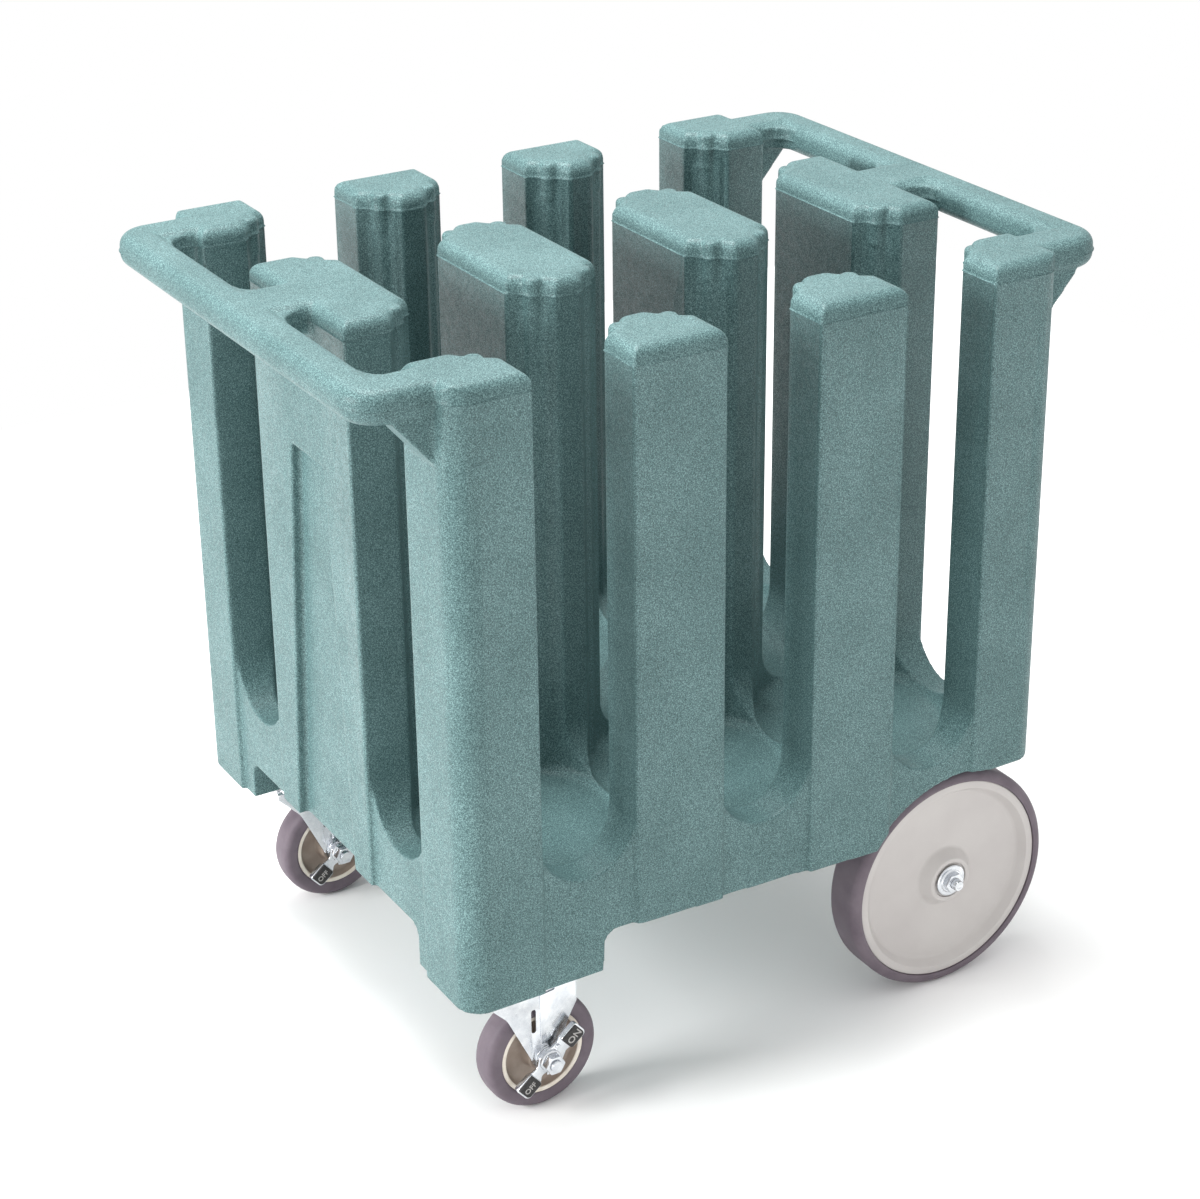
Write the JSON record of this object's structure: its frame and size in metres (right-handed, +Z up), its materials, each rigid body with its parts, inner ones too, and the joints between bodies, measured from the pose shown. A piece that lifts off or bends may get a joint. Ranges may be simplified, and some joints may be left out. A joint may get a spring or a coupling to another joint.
{
  "type": "plate dispenser cart",
  "caption": "Moulded plate caddy on wheels: round open wells for stacks of plates, push handles at both ends, large fixed wheels and braked swivel casters.",
  "frame": {"origin": "on the floor, under the middle of the body", "axes": "+X along the body towards the large fixed wheels, +Y across it away from the side that the picture shows, +Z up"},
  "size_m": [0.838, 0.614, 0.82],
  "materials": {
    "moulding": "speckled grey-green rotationally moulded polyethylene, satin",
    "wheel_disc": "off-white moulded disc, satin",
    "tyre": "warm grey non-marking rubber",
    "zinc": "bright zinc-plated steel",
    "caster_hub": "beige-brown moulded hub with a pale lip",
    "nylon": "natural nylon bush",
    "pads": "black pedal pads"
  },
  "bodies": {
    "cart": {"body_moulding": "moulding", "caster_inserts": "zinc", "axle_inserts": "zinc", "wheel_axle": "zinc", "axle_saddles": "zinc", "axle_saddle_bolts": "zinc", "axle_spacers": "zinc", "axle_washers": "zinc", "axle_nuts": "zinc", "front_caster_plate": "zinc", "front_caster_plate_bolts": "zinc", "front_caster_kingpin": "zinc", "back_caster_plate": "zinc", "back_caster_plate_bolts": "zinc", "back_caster_kingpin": "zinc"},
    "front_wheel": {"front_wheel_tyre": "tyre", "front_wheel_disc": "wheel_disc", "front_wheel_bearing": "nylon"},
    "front_caster_fork": {"front_caster_fork": "zinc", "front_caster_balls": "zinc", "front_caster_axle_bolt": "zinc", "front_caster_axle_nut": "zinc", "front_caster_sleeve": "zinc", "front_caster_cam": "zinc"},
    "front_caster_wheel": {"front_caster_tyre": "tyre", "front_caster_hub": "caster_hub", "front_caster_bearing": "nylon"},
    "front_caster_brake": {"front_caster_brake_lever": "zinc", "front_caster_brake_pads": "pads"},
    "back_wheel": {"back_wheel_tyre": "tyre", "back_wheel_disc": "wheel_disc", "back_wheel_bearing": "nylon"},
    "back_caster_fork": {"back_caster_fork": "zinc", "back_caster_balls": "zinc", "back_caster_axle_bolt": "zinc", "back_caster_axle_nut": "zinc", "back_caster_sleeve": "zinc", "back_caster_cam": "zinc"},
    "back_caster_wheel": {"back_caster_tyre": "tyre", "back_caster_hub": "caster_hub", "back_caster_bearing": "nylon"},
    "back_caster_brake": {"back_caster_brake_lever": "zinc", "back_caster_brake_pads": "pads"}
  },
  "joints": [
    {"name": "front_wheel_spin", "type": "hinge", "parent": "cart", "child": "front_wheel", "pos_m": [0.25, -0.266, 0.127], "axis": [0, 1, 0], "continuous": true},
    {"name": "front_caster_swivel", "type": "hinge", "parent": "cart", "child": "front_caster_fork", "pos_m": [-0.266, -0.238, 0.163], "axis": [0, 0, 1], "continuous": true},
    {"name": "front_caster_roll", "type": "hinge", "parent": "front_caster_fork", "child": "front_caster_wheel", "pos_m": [-0.234, -0.238, 0.0635], "axis": [0, 1, 0], "continuous": true},
    {"name": "front_caster_brake", "type": "hinge", "parent": "front_caster_fork", "child": "front_caster_brake", "pos_m": [-0.234, -0.238, 0.0635], "axis": [0, 1, 0], "range_deg": [0, 25]},
    {"name": "back_wheel_spin", "type": "hinge", "parent": "cart", "child": "back_wheel", "pos_m": [0.25, 0.266, 0.127], "axis": [0, 1, 0], "continuous": true},
    {"name": "back_caster_swivel", "type": "hinge", "parent": "cart", "child": "back_caster_fork", "pos_m": [-0.266, 0.238, 0.163], "axis": [0, 0, 1], "continuous": true},
    {"name": "back_caster_roll", "type": "hinge", "parent": "back_caster_fork", "child": "back_caster_wheel", "pos_m": [-0.234, 0.238, 0.0635], "axis": [0, 1, 0], "continuous": true},
    {"name": "back_caster_brake", "type": "hinge", "parent": "back_caster_fork", "child": "back_caster_brake", "pos_m": [-0.234, 0.238, 0.0635], "axis": [0, 1, 0], "range_deg": [0, 25]}
  ]
}
